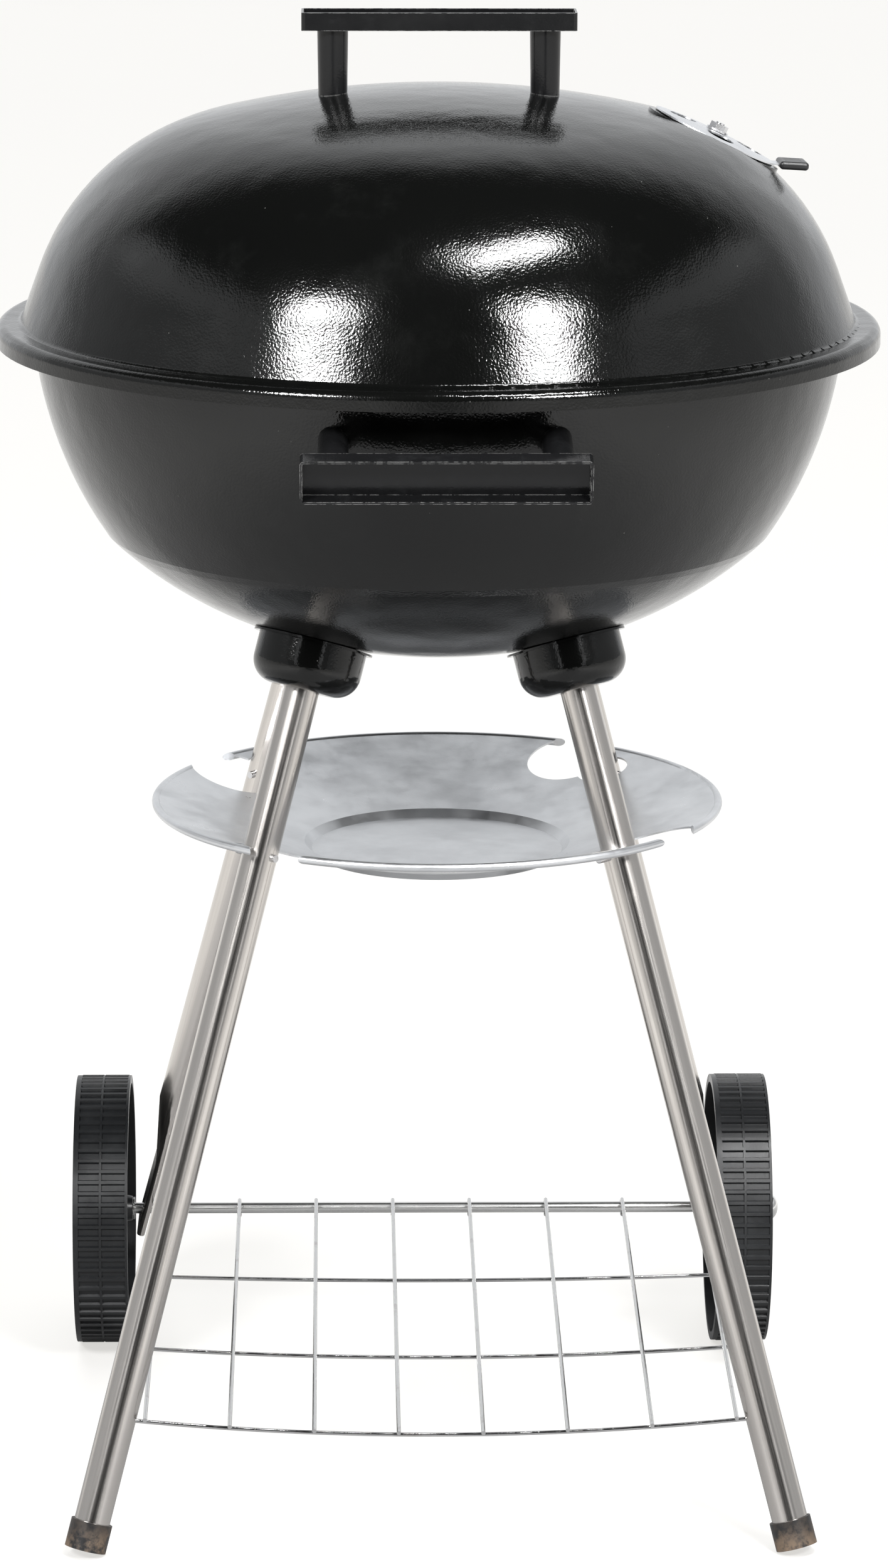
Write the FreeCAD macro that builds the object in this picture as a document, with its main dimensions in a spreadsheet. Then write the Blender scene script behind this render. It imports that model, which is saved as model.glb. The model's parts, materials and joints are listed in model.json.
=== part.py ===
"""Kettle charcoal grill on four legs, with a wire shelf and two wheels.

Millimetres. +Z is up, +X is to the right of someone who stands in front of the grill, and the
front is at -Y. The origin is on the floor, on the axis of the bowl and lid.
"""
import FreeCAD, Part
import math
import os
import Sketcher

from FreeCAD import Placement, Rotation, Vector

SIZES = {
    # sheet metal
    "wall": 1.2,
    # lid: skirt, flange, leaning wall, shoulder arc and crown arc
    "rim_radius": 235.0,
    "skirt_bottom": 616.0,
    "flange_top": 626.3,
    "flange_edge": 5.0,
    "lid_foot": 3.0,
    "lid_lean": 19.94,
    "shoulder_radius": 125.92,
    "shoulder_out": 93.4,
    "shoulder_up": 611.63,
    "crown_radius": 524.8,
    # bowl: rolled rim, upper arc, ledge, lower arc and flat bottom
    "bowl_rim_radius": 230.0,
    "bowl_rim_up": 622.1,
    "bowl_bead": 2.0,
    "bowl_neck": 8.0,
    "belly_radius": 221.35,
    "belly_out": -5.09,
    "belly_up": 638.94,
    "ledge_up": 514.5,
    "ledge_out": 174.0,
    "base_radius": 230.6,
    "base_out": 19.4,
    "base_up": 681.6,
    # handles
    "bar_length": 145.0,
    "bar_width": 23.5,
    "bar_depth": 9.5,
    "bar_corner": 2.0,
    "post_spacing": 112.0,
    "post_bar_radius": 8.2,
    "post_foot_radius": 7.5,
    "post_length": 46.0,
    "lid_bar_bottom": 780.0,
    "bowl_bar_out": 240.9,
    "bowl_bar_up": 586.2,
    "bowl_bar_tilt": 16.0,
    # fasteners
    "screw_radius": 2.9,
    "screw_hole": 3.2,
    "screw_head": 5.6,
    "screw_head_up": 3.2,
    "lid_screw_reach": 36.4,
    "bowl_screw_reach": 41.5,
    "screw_grip": 18.0,
    "leg_bolt_seat": 0.4,
    "insert_length": 14.0,
    # vents and dampers
    "vent_out": 148.0,
    "vent_turn": 3.5,
    "vent_seat_radius": 38.0,
    "vent_seat_crown": 300.0,
    "vent_seat_drop": 1.5,
    "vent_seat_depth": 12.0,
    "damper_radius": 34.5,
    "damper_sheet": 0.8,
    "damper_gap": 0.5,
    "damper_hole": 7.5,
    "damper_hole_out": 19.5,
    "damper_open_turn": 10.0,
    "pivot_radius": 2.45,
    "pivot_hole": 2.53,
    "pivot_head": 5.0,
    "pivot_head_up": 2.6,
    "pivot_head_gap": 0.06,
    "pivot_washer": 6.0,
    "pivot_nut": 5.0,
    "pivot_nut_up": 3.0,
    "pivot_tail": 4.6,
    "ear_length": 16.0,
    "ear_width": 13.0,
    "ear_root": 0.5,
    "lid_ear_lift": 22.0,
    "bowl_ear_lift": 16.0,
    "tab_start": 3.0,
    "tab_length": 15.5,
    "tab_width": 20.0,
    "tab_height": 4.4,
    "tab_round": 1.8,
    "tab_groove": 0.9,
    # legs and sockets
    "socket_side": 66.5,
    "socket_up": 464.7,
    "socket_radius": 29.0,
    "socket_height": 26.5,
    "socket_round": 13.0,
    "socket_plate_radius": 32.0,
    "socket_plate": 1.1,
    "leg_radius": 9.5,
    "leg_sheet": 1.0,
    "leg_slope": 0.2615,
    "rear_slope_side": 0.256,
    "rear_slope_back": 0.263,
    "leg_start": 6.0,
    "cap_radius": 11.0,
    "cap_height": 15.0,
    "cap_floor": 3.0,
    "cap_end_up": 2.8,
    "cap_fit": 0.05,
    "flat_thickness": 4.5,
    "flat_width": 27.0,
    "flat_below": 11.0,
    "flat_above": 36.0,
    "flat_taper": 40.0,
    # wheels and axle
    "axle_up": 77.5,
    "axle_radius": 3.175,
    "bore_radius": 3.25,
    "axle_half": 199.5,
    "wheel_radius": 77.5,
    "wheel_width": 31.0,
    "hub_inside": 173.5,
    "wheel_gap": 0.4,
    "barrel_radius": 76.1,
    "barrel_inner": 72.6,
    "band_width": 3.0,
    "web_near": 14.0,
    "web_far": 17.0,
    "hub_near": 11.0,
    "hub_far": 31.5,
    "hub_radius": 7.0,
    "hub_root": 10.0,
    "spoke_count": 8,
    "spoke_width": 2.5,
    "spoke_reach": 3.0,
    "rib_count": 76,
    "rib_width": 3.6,
    "centre_rib": 1.3,
    "washer_radius": 6.5,
    "washer_sheet": 1.0,
    "axle_cap_neck": 5.0,
    "axle_cap_radius": 7.35,
    "axle_cap_dome": 4.6,
    "axle_cap_out": 3.0,
    # wire shelf
    "wire_radius": 1.1,
    "shelf_front": -169.4,
    "shelf_up": 68.0,
    "shelf_dip": 8.7,
    "shelf_end": 165.0,
    "shelf_side": 158.0,
    "shelf_middle": -64.0,
    "shelf_back": 48.0,
    "shelf_pitch": 44.5,
    "shelf_weld": 0.3,
    "shelf_overhang": 3.0,
    "hook_gap": 0.15,
    "hook_turn": 230.0,
    # ash tray
    "tray_up": 365.2,
    "tray_radius": 154.6,
    "tray_ring": 72.0,
    "tray_drop": 25.2,
    "tray_step": 4.0,
    "tray_step_run": 4.0,
    "tray_sheet": 1.0,
    "tray_bead": 2.2,
    "tray_seat_out": 130.5,
    "tray_seat_turn": -0.9,
    "tray_seat_radius": 14.0,
    "pin_up": 355.6,
    "pin_radius": 2.0,
    "pin_reach": 17.5,
    "pin_stub": 12.0,
    "tray_gate_out": 135.2,
    "tray_gate_turn": 10.5,
    "tray_gate_radius": 24.0,
    # grates
    "cook_radius": 200.0,
    "cook_up": 588.0,
    "coal_radius": 173.0,
    "coal_up": 515.3,
    "ring_wire": 2.5,
    "cook_wire": 1.8,
    "coal_wire": 2.5,
    "cook_pitch": 18.0,
    "coal_pitch": 24.0,
    "weld": 0.4,
    "grip_out": 172.0,
    "grip_half": 32.0,
    "grip_up": 20.0,
    "bracket_in": 197.0,
    "bracket_width": 16.0,
    "bracket_sheet": 1.5,
    "bracket_drop": 14.0,
    "bracket_gap": 0.3,
}

FRONT, REAR = -1, 1
LEFT, RIGHT = -1, 1
UP = Vector(0, 0, 1)
ACROSS = Vector(1, 0, 0)
QUARTERS = 4

# how far back the axle is, and how far out the bowl's neck turns into its flange
AXLE_BACK = "(Sizes.socket_side + Sizes.rear_slope_back * (Sizes.socket_up - Sizes.axle_up))"
NECK_UP = "(Sizes.bowl_rim_up - Sizes.bowl_neck)"
NECK_OUT = (
    "(Sizes.belly_out + sqrt((Sizes.belly_radius + Sizes.bowl_neck)^2"
    " - (Sizes.bowl_rim_up - Sizes.bowl_neck - Sizes.belly_up)^2))"
)

doc = FreeCAD.newDocument("kettle_grill")
sheet = doc.addObject("Spreadsheet::Sheet", "Sizes")
for row, (alias, number) in enumerate(SIZES.items(), 1):
    sheet.set(f"A{row}", alias)
    sheet.set(f"B{row}", str(number))
    sheet.setAlias(f"B{row}", alias)
doc.recompute()

sub_parts = []


# ---------------------------------------------------------------- helpers

def size(formula):
    """The number that a formula of sheet cells gives."""
    return float(sheet.evalExpression(formula))


def add(kind, name, placement=None, **formulas):
    """A document object whose sizes are bound to formulas of the sheet's cells."""
    thing = doc.addObject(kind, name)
    for prop, formula in formulas.items():
        thing.setExpression(prop, formula)
    if placement is not None:
        thing.Placement = placement
    return thing


def cylinder(name, radius, height, placement=None):
    return add("Part::Cylinder", name, placement, Radius=radius, Height=height)


def box(name, length, width, height, placement=None):
    return add("Part::Box", name, placement, Length=length, Width=width, Height=height)


def cut(name, base, tool):
    result = doc.addObject("Part::Cut", name)
    result.Base = base
    result.Tool = tool
    return result


def fuse(name, *pieces):
    result = doc.addObject("Part::MultiFuse", name)
    result.Shapes = list(pieces)
    return result


def common(name, *pieces):
    result = doc.addObject("Part::MultiCommon", name)
    result.Shapes = list(pieces)
    return result


def group(name, *pieces):
    """Separate solids that share one node."""
    result = doc.addObject("Part::Compound", name)
    result.Links = list(pieces)
    return result


def sub_part(thing, label):
    thing.Label = label
    sub_parts.append(thing)
    return thing


def along(point, direction, turn=0.0):
    """A placement with its local +Z along direction."""
    swing = Rotation(UP, direction)
    return Placement(point, swing.multiply(Rotation(UP, turn)))


def side_name(side):
    return "left" if side == LEFT else "right"


class Outline:
    """A sketch of lines and arcs, with its places and radii bound to the sheet."""

    def __init__(self, name, body=None, plane="XZ_Plane", lift=None):
        if body is None:
            self.sketch = doc.addObject("Sketcher::SketchObject", name)
            self.sketch.Placement = Placement(Vector(), Rotation(Vector(1, 0, 0), 90))
        else:
            self.sketch = body.newObject("Sketcher::SketchObject", name)
            for feature in body.Origin.OriginFeatures:
                if feature.Role == plane:
                    self.sketch.AttachmentSupport = (feature, "")
            self.sketch.MapMode = "FlatFace"
            if lift is not None:
                self.sketch.setExpression("AttachmentOffset.Base.z", lift)

    def line(self, start, end):
        segment = Part.LineSegment(Vector(*start, 0), Vector(*end, 0))
        return self.sketch.addGeometry(segment)

    def arc(self, centre, radius, first, last):
        """An arc anticlockwise from angle first to angle last, in degrees."""
        circle = Part.Circle(Vector(*centre, 0), UP, radius)
        return self.sketch.addGeometry(Part.ArcOfCircle(circle, math.radians(first), math.radians(last)))

    def circle(self, x, y, radius):
        index = self.sketch.addGeometry(Part.Circle(Vector(size(x), size(y), 0), UP, size(radius)))
        self.place(index, 3, x, y)
        self.bind("Radius", (index, size(radius)), radius)
        return index

    def join(self, first, first_end, second, second_end, smooth=False):
        kind = "Tangent" if smooth else "Coincident"
        self.sketch.addConstraint(Sketcher.Constraint(kind, first, first_end, second, second_end))

    def rule(self, *arguments):
        self.sketch.addConstraint(Sketcher.Constraint(*arguments))

    def bind(self, kind, arguments, formula):
        index = self.sketch.addConstraint(Sketcher.Constraint(kind, *arguments))
        self.sketch.setExpression(f"Constraints[{index}]", formula)

    def place(self, index, end, x=None, y=None):
        """Hold one point of the outline at sheet formulas; "0" puts it on the axis itself."""
        for formula, kind, axis in ((x, "DistanceX", -2), (y, "DistanceY", -1)):
            if formula is None:
                continue
            if formula == "0":
                self.rule("PointOnObject", index, end, axis)
            else:
                self.bind(kind, (-1, 1, index, end, size(formula)), formula)

    def polygon(self, corners):
        """A closed outline of straight lines through corners, each a pair of formulas."""
        spots = [(size(x), size(y)) for x, y in corners]
        edges = [self.line(spot, spots[(i + 1) % len(spots)]) for i, spot in enumerate(spots)]
        for i, (x, y) in enumerate(corners):
            self.join(edges[i - 1], 2, edges[i], 1)
            self.place(edges[i], 1, x, y)
        return edges


def spin(name, sketch):
    """A solid of revolution about the vertical axis."""
    result = doc.addObject("Part::Revolution", name)
    result.Source = sketch
    result.Axis = (0, 0, 1)
    result.Base = (0, 0, 0)
    result.Angle = 360
    result.Solid = True
    return result


def body_spin(body, sketch, axis):
    feature = body.newObject("PartDesign::Revolution", sketch.Name + "_spin")
    feature.Profile = sketch
    feature.ReferenceAxis = (sketch, [axis])
    feature.Angle = 360
    sketch.Visibility = False
    return feature


# ---------------------------------------------------------------- lid and bowl volumes

def lid_volume(name, inset, overshoot):
    """Everything under the lid's skin, inset by a wall and open at the bottom by an overshoot."""
    gap = size(inset)
    lean = size("Sizes.lid_lean")
    rim, edge = size("Sizes.rim_radius"), size("Sizes.flange_edge")
    top, foot = size("Sizes.flange_top"), size("Sizes.lid_foot")
    bottom = size(f"Sizes.skirt_bottom - {overshoot}")
    shoulder = size("Sizes.shoulder_radius") - gap
    crown = size("Sizes.crown_radius") - gap
    centre = Vector(size("Sizes.shoulder_out"), size("Sizes.shoulder_up"), 0)
    out = Vector(math.cos(math.radians(lean)), math.sin(math.radians(lean)), 0)
    wall_top = centre + out * shoulder
    foot_up = top + foot
    foot_out = wall_top.x + (foot + gap - (foot_up - wall_top.y) * out.y) / out.x
    wall_foot = Vector(foot_out, foot_up, 0) - out * (foot + gap)
    crown_up = centre.y - math.sqrt((crown - shoulder) ** 2 - centre.x ** 2)
    crown_turn = math.degrees(math.atan2(centre.y - crown_up, centre.x))

    outline = Outline(name + "_outline")
    base = outline.line((0, bottom), (rim - gap, bottom))
    skirt = outline.line((rim - gap, bottom), (rim - gap, top - edge))
    corner = outline.arc((rim - edge, top - edge), edge - gap, 0, 90)
    flange = outline.line((rim - edge, top - gap), (foot_out, top - gap))
    hollow = outline.arc((foot_out, foot_up), foot + gap, 180 + lean, 270)
    wall = outline.line((wall_foot.x, wall_foot.y), (wall_top.x, wall_top.y))
    bend = outline.arc((centre.x, centre.y), shoulder, lean, crown_turn)
    dome = outline.arc((0, crown_up), crown, crown_turn, 90)
    axis = outline.line((0, crown_up + crown), (0, bottom))
    outline.place(base, 1, "0", f"Sizes.skirt_bottom - {overshoot}")
    outline.place(base, 2, f"Sizes.rim_radius - {inset}")
    outline.rule("Horizontal", base)
    outline.join(base, 2, skirt, 1)
    outline.rule("Vertical", skirt)
    outline.join(skirt, 2, corner, 1, smooth=True)
    outline.bind("Radius", (corner, edge - gap), f"Sizes.flange_edge - {inset}")
    outline.join(corner, 2, flange, 1, smooth=True)
    outline.rule("Horizontal", flange)
    outline.place(flange, 2, None, f"Sizes.flange_top - {inset}")
    outline.join(flange, 2, hollow, 2, smooth=True)
    outline.bind("Radius", (hollow, foot + gap), f"Sizes.lid_foot + {inset}")
    outline.join(hollow, 1, wall, 1, smooth=True)
    outline.join(wall, 2, bend, 1, smooth=True)
    outline.bind("Angle", (wall, math.radians(90 + lean)), "90 + Sizes.lid_lean")
    outline.place(bend, 3, "Sizes.shoulder_out", "Sizes.shoulder_up")
    outline.bind("Radius", (bend, shoulder), f"Sizes.shoulder_radius - {inset}")
    outline.join(bend, 2, dome, 1, smooth=True)
    outline.bind("Radius", (dome, crown), f"Sizes.crown_radius - {inset}")
    outline.place(dome, 3, "0")
    outline.join(dome, 2, axis, 1)
    outline.rule("Vertical", axis)
    outline.join(axis, 2, base, 1)
    return spin(name, outline.sketch)


def bowl_volume(name, inset, overshoot):
    """Everything inside the bowl's skin, inset by a wall and open at the top by an overshoot."""
    gap = size(inset)
    under, neck = size("Sizes.bowl_rim_up"), size("Sizes.bowl_neck")
    belly, base_r = size("Sizes.belly_radius") - gap, size("Sizes.base_radius") - gap
    belly_at = Vector(size("Sizes.belly_out"), size("Sizes.belly_up"), 0)
    base_at = Vector(size("Sizes.base_out"), size("Sizes.base_up"), 0)
    ledge_top = size("Sizes.ledge_up") + gap
    ledge_in = size("Sizes.ledge_out") - gap
    neck_up, neck_out = size(NECK_UP), size(NECK_OUT)
    neck_turn = math.degrees(math.atan2(neck_up - belly_at.y, neck_out - belly_at.x))
    ledge_turn = math.degrees(math.asin((ledge_top - belly_at.y) / belly))
    ledge_x = belly_at.x + belly * math.cos(math.radians(ledge_turn))
    base_turn = -math.degrees(math.acos((ledge_in - base_at.x) / base_r))
    ledge_y = base_at.y + base_r * math.sin(math.radians(base_turn))
    lid_line = under + size("Sizes.wall") + size(overshoot)
    bottom = base_at.y - base_r

    outline = Outline(name + "_outline")
    flat = outline.line((0, bottom), (base_at.x, bottom))
    lower = outline.arc((base_at.x, base_at.y), base_r, -90, base_turn)
    ledge = outline.line((ledge_in, ledge_y), (ledge_x, ledge_top))
    upper = outline.arc((belly_at.x, belly_at.y), belly, ledge_turn, neck_turn)
    flare = outline.arc((neck_out, neck_up), neck + gap, 90, 180 + neck_turn)
    edge = outline.line((neck_out, under + gap), (neck_out, lid_line))
    top = outline.line((neck_out, lid_line), (0, lid_line))
    axis = outline.line((0, lid_line), (0, bottom))
    outline.place(flat, 1, "0")
    outline.rule("Horizontal", flat)
    outline.join(flat, 2, lower, 1, smooth=True)
    outline.place(lower, 3, "Sizes.base_out", "Sizes.base_up")
    outline.bind("Radius", (lower, base_r), f"Sizes.base_radius - {inset}")
    outline.place(lower, 2, f"Sizes.ledge_out - {inset}")
    outline.join(lower, 2, ledge, 1)
    outline.join(ledge, 2, upper, 1)
    outline.place(upper, 3, "Sizes.belly_out", "Sizes.belly_up")
    outline.bind("Radius", (upper, belly), f"Sizes.belly_radius - {inset}")
    outline.place(upper, 1, None, f"Sizes.ledge_up + {inset}")
    outline.join(upper, 2, flare, 2, smooth=True)
    outline.bind("Radius", (flare, neck + gap), f"Sizes.bowl_neck + {inset}")
    outline.place(flare, 1, None, f"Sizes.bowl_rim_up + {inset}")
    outline.join(flare, 1, edge, 1)
    outline.bind("Angle", (-1, 1, edge, 1, math.pi / 2), "90")
    outline.join(edge, 2, top, 1)
    outline.rule("Horizontal", top)
    outline.place(top, 2, "0", f"Sizes.bowl_rim_up + Sizes.wall + {overshoot}")
    outline.join(top, 2, axis, 1)
    outline.join(axis, 2, flat, 1)
    return spin(name, outline.sketch)


no_inset = "0 * Sizes.wall"
lid_skin = lid_volume("lid_skin", no_inset, "0")
lid_inside = lid_volume("lid_inside", "Sizes.wall", "1")
bowl_skin = bowl_volume("bowl_skin", no_inset, "0")
bowl_inside = bowl_volume("bowl_inside", "Sizes.wall", "1")


# ---------------------------------------------------------------- places and directions

def leg_slopes(end):
    """How far a leg moves to its side and to its end for each millimetre down."""
    if end == FRONT:
        return size("Sizes.leg_slope"), size("Sizes.leg_slope")
    return size("Sizes.rear_slope_side"), size("Sizes.rear_slope_back")


def leg_up(side, end):
    """The unit vector up along a leg's axis."""
    sideways, endways = leg_slopes(end)
    return Vector(-side * sideways, -end * endways, 1).normalize()


def leg_point(side, end, height):
    """The point of a leg's axis at a height above the floor."""
    sideways, endways = leg_slopes(end)
    fall = size("Sizes.socket_up") - height
    start = size("Sizes.socket_side")
    return Vector(side * (start + sideways * fall), end * (start + endways * fall), height)


def vent_frame():
    """The vent's centre on the lid's shoulder arc, with +Z out of the lid and +X downhill."""
    step = size("Sizes.vent_out - Sizes.shoulder_out")
    radius = size("Sizes.shoulder_radius")
    tilt = math.asin(step / radius)
    turn = math.radians(size("Sizes.vent_turn"))
    out = Vector(math.cos(turn), math.sin(turn), 0)
    centre = out * size("Sizes.vent_out") + UP * (size("Sizes.shoulder_up") + radius * math.cos(tilt))
    spin_out = Rotation(UP, math.degrees(turn))
    lean = Rotation(Vector(0, 1, 0), math.degrees(tilt))
    return Placement(centre, spin_out.multiply(lean))


def floor_vent_frame():
    """The bottom vent's centre under the bowl, with +Z down and +X towards the back."""
    bottom = size("Sizes.base_up - Sizes.base_radius")
    return Placement(Vector(0, 0, bottom), Rotation(Vector(0, 1, 0), UP, Vector(0, 0, -1), "ZXY"))


def shift(frame, x, y, z, turn=None):
    """A frame moved in its own axes, and then turned."""
    return frame.multiply(Placement(Vector(x, y, z), turn or Rotation()))


VENT = vent_frame()
FLOOR_VENT = floor_vent_frame()
HANDLE_LEAN = Rotation(ACROSS, 90 + size("Sizes.bowl_bar_tilt"))
LID_BAR = Placement(Vector(0, 0, size("Sizes.lid_bar_bottom")), Rotation())
BOWL_BAR = Placement(Vector(0, -size("Sizes.bowl_bar_out"), size("Sizes.bowl_bar_up")), HANDLE_LEAN)


# ---------------------------------------------------------------- shells

def ball(name, radius, frame):
    """A ball below a frame whose top is at the vent seat's drop."""
    sphere = add("Part::Sphere", name, Radius=radius)
    sphere.Placement = shift(frame, 0, 0, -size("Sizes.vent_seat_drop + Sizes.vent_seat_crown"))
    return sphere


def press_seat(name, volume, ball_radius, cut_radius, fill_radius):
    """A round, slightly domed seat pressed into a volume at the vent."""
    depth = size("Sizes.vent_seat_depth")
    dome = ball(name + "_dome", ball_radius, VENT)
    low = shift(VENT, 0, 0, -depth)
    shaft = cylinder(name + "_shaft", cut_radius, "2 * Sizes.vent_seat_depth", low)
    plug = cylinder(name + "_plug", fill_radius, "2 * Sizes.vent_seat_depth", low)
    above = cut(name + "_above", shaft, dome)
    below = common(name + "_below", plug, dome)
    return fuse(name, cut(name + "_sunk", volume, above), below)


def vent_holes(name, frame, turn):
    """Four round holes about a pivot hole, through whatever is at a vent frame."""
    tools = [cylinder(name + "_pivot", "Sizes.pivot_hole", "2 * Sizes.vent_seat_depth",
                      shift(frame, 0, 0, -size("Sizes.vent_seat_depth")))]
    for quarter in range(QUARTERS):
        angle = math.radians(90 * quarter + turn)
        out = size("Sizes.damper_hole_out")
        place = shift(frame, out * math.cos(angle), out * math.sin(angle), -size("Sizes.vent_seat_depth"))
        tools.append(cylinder(f"{name}_{quarter}", "Sizes.damper_hole", "2 * Sizes.vent_seat_depth", place))
    return tools


def handle_holes(name, frame):
    """The two holes in a sheet for the screws of a handle."""
    tools = []
    for side in (LEFT, RIGHT):
        place = shift(frame, side * size("Sizes.post_spacing / 2"), 0, -size("Sizes.post_length + 10"))
        tools.append(cylinder(f"{name}_{side_name(side)}", "Sizes.screw_hole", "Sizes.post_length", place))
    return tools


def make_lid_shell():
    skin = press_seat("lid_seat", lid_skin, "Sizes.vent_seat_crown",
                      "Sizes.vent_seat_radius", "Sizes.vent_seat_radius")
    inside = press_seat("lid_seat_inside", lid_inside, "Sizes.vent_seat_crown - Sizes.wall",
                        "Sizes.vent_seat_radius + Sizes.wall", "Sizes.vent_seat_radius - Sizes.wall")
    shell = cut("lid_pressing", skin, inside)
    holes = vent_holes("lid_vent", VENT, size("Sizes.damper_open_turn")) + handle_holes("lid_hole", LID_BAR)
    return sub_part(cut("lid_drilled", shell, fuse("lid_holes", *holes)), "lid_shell")


def make_bowl_shell():
    pressing = cut("bowl_pressing", bowl_skin, bowl_inside)
    disc = cylinder("bowl_flange_disc", "Sizes.bowl_rim_radius - Sizes.bowl_bead", "Sizes.wall")
    hole = cylinder("bowl_flange_hole", NECK_OUT, "Sizes.wall")
    flange = cut("bowl_flange", disc, hole)
    for piece in (disc, hole):
        piece.setExpression("Placement.Base.z", "Sizes.bowl_rim_up")
    bead = add("Part::Torus", "bowl_bead_ring", Radius1="Sizes.bowl_rim_radius - Sizes.bowl_bead",
               Radius2="Sizes.bowl_bead")
    bead.setExpression("Placement.Base.z", "Sizes.bowl_rim_up + Sizes.wall / 2")
    shell = fuse("bowl_rimmed", pressing, flange, bead)
    holes = vent_holes("bowl_vent", FLOOR_VENT, size("Sizes.damper_open_turn"))
    holes += handle_holes("bowl_hole", BOWL_BAR)
    for end in (FRONT, REAR):
        for side in (LEFT, RIGHT):
            start = leg_point(side, end, size("Sizes.socket_up"))
            up = leg_up(side, end)
            place = along(start - up * size("Sizes.leg_start"), up)
            name = f"bowl_leg_hole_{end + 1}{side + 1}"
            holes.append(cylinder(name, "Sizes.screw_hole", "2 * Sizes.leg_start", place))
    return sub_part(cut("bowl_drilled", shell, fuse("bowl_holes", *holes)), "bowl_shell")


# ---------------------------------------------------------------- handles

def make_handle_bar(label, frame):
    """A folded tray, open away from the grill."""
    body = doc.addObject("PartDesign::Body", label + "_body")
    half_length, half_width = "Sizes.bar_length / 2", "Sizes.bar_width / 2"
    blank = Outline(label + "_blank", body, "XY_Plane")
    blank.polygon([(f"-{half_length}", f"-{half_width}"), (half_length, f"-{half_width}"),
                   (half_length, half_width), (f"-{half_length}", half_width)])
    pad = body.newObject("PartDesign::Pad", label + "_pad")
    pad.Profile = blank.sketch
    pad.setExpression("Length", "Sizes.bar_depth")
    doc.recompute()
    rounded = body.newObject("PartDesign::Fillet", label + "_corners")
    upright = [f"Edge{i}" for i, edge in enumerate(pad.Shape.Edges, 1)
               if abs(edge.tangentAt(edge.FirstParameter).z) > 0.99]
    rounded.Base = (pad, upright)
    rounded.setExpression("Radius", "Sizes.bar_corner")
    doc.recompute()
    inner_length, inner_width = f"({half_length} - Sizes.wall)", f"({half_width} - Sizes.wall)"
    hollow = Outline(label + "_hollow", body, "XY_Plane", "Sizes.wall")
    hollow.polygon([(f"-{inner_length}", f"-{inner_width}"), (inner_length, f"-{inner_width}"),
                    (inner_length, inner_width), (f"-{inner_length}", inner_width)])
    pocket = body.newObject("PartDesign::Pocket", label + "_pocket")
    pocket.Profile = hollow.sketch
    pocket.Type = "ThroughAll"
    pocket.Reversed = True
    body.Placement = frame
    return sub_part(body, label)


def make_handle_posts(prefix, frame, skin):
    """Two tapered posts, each cut to the curve of the sheet and bored from its foot for a screw."""
    bore_length = f"Sizes.post_length - Sizes.{prefix}_screw_reach + Sizes.wall + Sizes.screw_grip + 1"
    for side in (LEFT, RIGHT):
        label = f"{prefix}_handle_post_{side_name(side)}"
        foot = shift(frame, side * size("Sizes.post_spacing / 2"), 0, -size("Sizes.post_length"))
        post = add("Part::Cone", label + "_cone", foot, Radius1="Sizes.post_foot_radius",
                   Radius2="Sizes.post_bar_radius", Height="Sizes.post_length")
        bore = cylinder(label + "_bore", "Sizes.screw_radius + 0.02", bore_length, foot)
        solid = cut(label + "_bored", post, bore)
        sub_part(cut(label + "_seated", solid, skin), label)


def make_handle_screws(prefix, frame):
    """A screw from behind the sheet up into each post."""
    screws = []
    for side in (LEFT, RIGHT):
        name = f"{prefix}_screw_{side_name(side)}"
        seat = shift(frame, side * size("Sizes.post_spacing / 2"), 0, -size(f"Sizes.{prefix}_screw_reach"))
        under = shift(seat, 0, 0, 0, Rotation(ACROSS, 180))
        head = cylinder(name + "_head", "Sizes.screw_head", "Sizes.screw_head_up", under)
        dome = rounded_end(name + "_dome", head, under, "Sizes.screw_head_up", "Sizes.screw_head_up * 0.7")
        shank = cylinder(name + "_shank", "Sizes.screw_radius", "Sizes.wall + Sizes.screw_grip", seat)
        screws.append(fuse(name, dome, shank))
    sub_part(group(prefix + "_screws", *screws), prefix + "_handle_screws")


def rounded_end(name, piece, frame, height, radius):
    """A piece with its round edge at a height above a frame rounded off."""
    doc.recompute()
    level = size(height)
    back = frame.inverse()
    result = doc.addObject("Part::Fillet", name)
    result.Base = piece
    result.Edges = [
        (i, size(radius), size(radius))
        for i, edge in enumerate(piece.Shape.Edges, 1)
        if all(abs(back.multVec(spot.Point).z - level) < 1e-6 for spot in edge.Vertexes)
    ]
    return result


def make_handles():
    make_handle_bar("lid_handle_bar", LID_BAR)
    make_handle_posts("lid", LID_BAR, lid_skin)
    make_handle_screws("lid", LID_BAR)
    make_handle_bar("bowl_handle_bar", BOWL_BAR)
    make_handle_posts("bowl", BOWL_BAR, bowl_skin)
    make_handle_screws("bowl", BOWL_BAR)


# ---------------------------------------------------------------- dampers

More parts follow.
